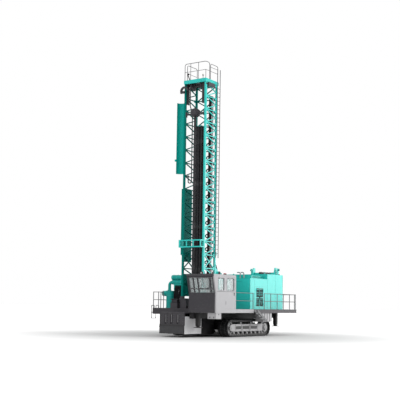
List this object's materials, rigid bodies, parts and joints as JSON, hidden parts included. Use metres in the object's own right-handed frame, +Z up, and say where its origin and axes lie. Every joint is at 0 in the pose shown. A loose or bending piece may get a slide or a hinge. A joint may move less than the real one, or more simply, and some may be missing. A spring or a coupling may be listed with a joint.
{
  "type": "down-the-hole drill rig",
  "caption": "Tracked blasthole drill rig with a tall lattice mast, rotary head, rod carousel, side cab, machinery house, dust hood and levelling jacks",
  "frame": {"origin": "on the ground under the middle of the machine", "axes": "+Z up, the drill end is -Y, the cab is on the +X side"},
  "size_m": [6.74, 12.6104, 19.132],
  "materials": {
    "teal_paint": "satin paint",
    "dark_paint": "satin paint",
    "light_paint": "satin paint",
    "rail_paint": "satin paint",
    "track_steel": "rough cast",
    "worn_steel": "worn",
    "rod_chrome": "polished",
    "rubber": "matt",
    "glass": "tinted",
    "trim": "matt"
  },
  "bodies": {
    "chassis": {"deck": "dark_paint", "main_frame": "dark_paint", "jack_barrels": "dark_paint", "carbody": "light_paint", "track_left": "track_steel", "track_right": "track_steel", "track_frames": "light_paint", "track_wheels": "worn_steel", "drill_table": "dark_paint", "hood_top": "dark_paint", "hood_front": "dark_paint", "hood_sides": "light_paint", "dust_curtains": "rubber", "mast_supports": "teal_paint", "mast_rest": "rail_paint", "mast_rest_forks": "teal_paint", "far_deck_pumps": "dark_paint", "cab_floor": "light_paint", "cab_wall_outer": "light_paint", "cab_wall_inner": "light_paint", "cab_wall_front": "dark_paint", "cab_wall_rear": "light_paint", "cab_roof": "light_paint", "cab_glass": "glass", "cab_seat_and_console": "trim", "cab_lamps": "trim", "under_deck_boxes": "light_paint", "house_side_walls": "teal_paint", "house_end_walls": "teal_paint", "house_roof": "teal_paint", "engine_and_cooler": "dark_paint", "muffler": "trim", "breather_pipes": "light_paint", "dust_collector": "teal_paint", "handrails_and_ladders": "rail_paint"},
    "mast": {"mast_side_left": "teal_paint", "mast_side_right": "teal_paint", "mast_rear_lacing": "teal_paint", "mast_ties": "teal_paint", "crown": "teal_paint", "crown_sheaves_and_hoses": "dark_paint", "mast_ladder_and_rails": "rail_paint", "hose_guard": "teal_paint"},
    "head": {"rotary_head": "dark_paint"},
    "string": {"drill_string": "worn_steel"},
    "carousel": {"rod_carousel": "worn_steel"},
    "lift_barrels": {"lift_barrels": "dark_paint"},
    "lift_rods": {"lift_rods": "rod_chrome"},
    "jack_front_left": {"jack_leg_front_left": "rod_chrome"},
    "jack_front_right": {"jack_leg_front_right": "rod_chrome"},
    "jack_rear_left": {"jack_leg_rear_left": "rod_chrome"},
    "jack_rear_right": {"jack_leg_rear_right": "rod_chrome"},
    "cab_door": {"cab_door": "light_paint", "cab_door_glass": "glass"},
    "house_door_front": {"house_door_front": "teal_paint"},
    "house_door_rear": {"house_door_rear": "teal_paint"},
    "curtain": {"front_curtain": "rubber"}
  },
  "joints": [
    {"name": "mast_raise", "type": "hinge", "parent": "chassis", "child": "mast", "pos_m": [0, -2.015, 4.35], "axis": [-1, 0, 0], "range_deg": [0, 90]},
    {"name": "lift_swing", "type": "hinge", "parent": "chassis", "child": "lift_barrels", "pos_m": [0, -0.515, 2.15], "axis": [-1, 0, 0], "range_deg": [-0.5, 21.63]},
    {"name": "lift_slide", "type": "slide", "parent": "lift_barrels", "child": "lift_rods", "axis": [0, -0.4194, 0.9078], "range_m": [-1.5757, 0.01]},
    {"name": "head_feed", "type": "slide", "parent": "mast", "child": "head", "axis": [0, 0, 1], "range_m": [-10.9, 0]},
    {"name": "string_turn", "type": "hinge", "parent": "head", "child": "string", "pos_m": [0, -3.865, 15], "axis": [0, 0, 1], "continuous": true},
    {"name": "carousel_turn", "type": "hinge", "parent": "mast", "child": "carousel", "pos_m": [0, -3.145, 9], "axis": [0, 0, 1], "continuous": true},
    {"name": "cab_door_swing", "type": "hinge", "parent": "chassis", "child": "cab_door", "pos_m": [3.145, -4.565, 2.9], "axis": [0, 0, -1], "range_deg": [0, 105]},
    {"name": "house_door_front_swing", "type": "hinge", "parent": "chassis", "child": "house_door_front", "pos_m": [2.304, 0.835, 2.7], "axis": [0, 0, -1], "range_deg": [0, 105]},
    {"name": "house_door_rear_swing", "type": "hinge", "parent": "chassis", "child": "house_door_rear", "pos_m": [2.304, 1.855, 2.7], "axis": [0, 0, 1], "range_deg": [0, 105]},
    {"name": "curtain_lift", "type": "slide", "parent": "chassis", "child": "curtain", "axis": [0, 0, 1], "range_m": [0, 0.55]},
    {"name": "jack_front_left_slide", "type": "slide", "parent": "chassis", "child": "jack_front_left", "axis": [0, 0, -1], "range_m": [0, 0.7]},
    {"name": "jack_front_right_slide", "type": "slide", "parent": "chassis", "child": "jack_front_right", "axis": [0, 0, -1], "range_m": [0, 0.7]},
    {"name": "jack_rear_left_slide", "type": "slide", "parent": "chassis", "child": "jack_rear_left", "axis": [0, 0, -1], "range_m": [0, 0.5]},
    {"name": "jack_rear_right_slide", "type": "slide", "parent": "chassis", "child": "jack_rear_right", "axis": [0, 0, -1], "range_m": [0, 0.5]}
  ],
  "couplings": [
    {"joint": "lift_swing", "follows": "mast_raise", "ratio": 0.23475},
    {"joint": "lift_slide", "follows": "mast_raise", "m_per_rad": -0.99676}
  ]
}
